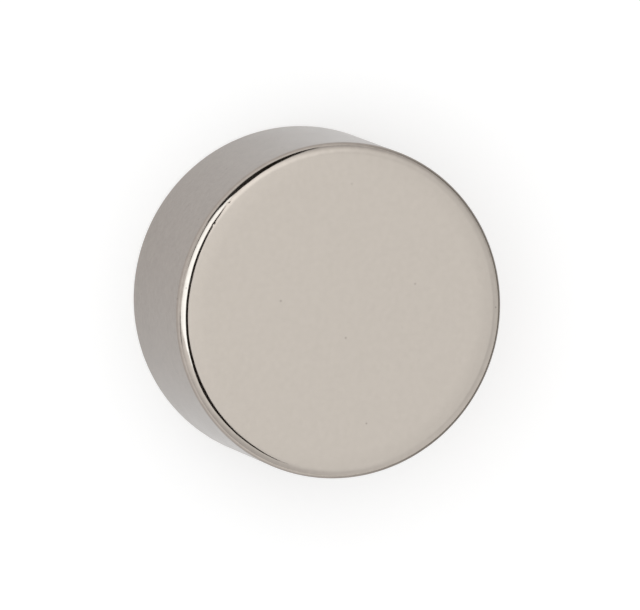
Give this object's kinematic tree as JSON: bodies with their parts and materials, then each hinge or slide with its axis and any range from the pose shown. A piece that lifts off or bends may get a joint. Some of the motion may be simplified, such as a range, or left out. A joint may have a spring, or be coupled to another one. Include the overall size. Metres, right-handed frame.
{
  "type": "disc magnet",
  "caption": "Thick round disc magnet with flat faces, a straight side wall and softly rounded rims, plated in bright nickel, to hold to steel or to glue into a pocket.",
  "frame": {"origin": "centre of the back face, on which the disc lies", "axes": "+Z along the disc's axis, from the back face to the working face; X and Y are free, because the disc is round"},
  "size_m": [0.02, 0.02, 0.01],
  "materials": {
    "nickel_plating": "gloss"
  },
  "bodies": {
    "root": {"magnet": "nickel_plating"}
  },
  "joints": []
}
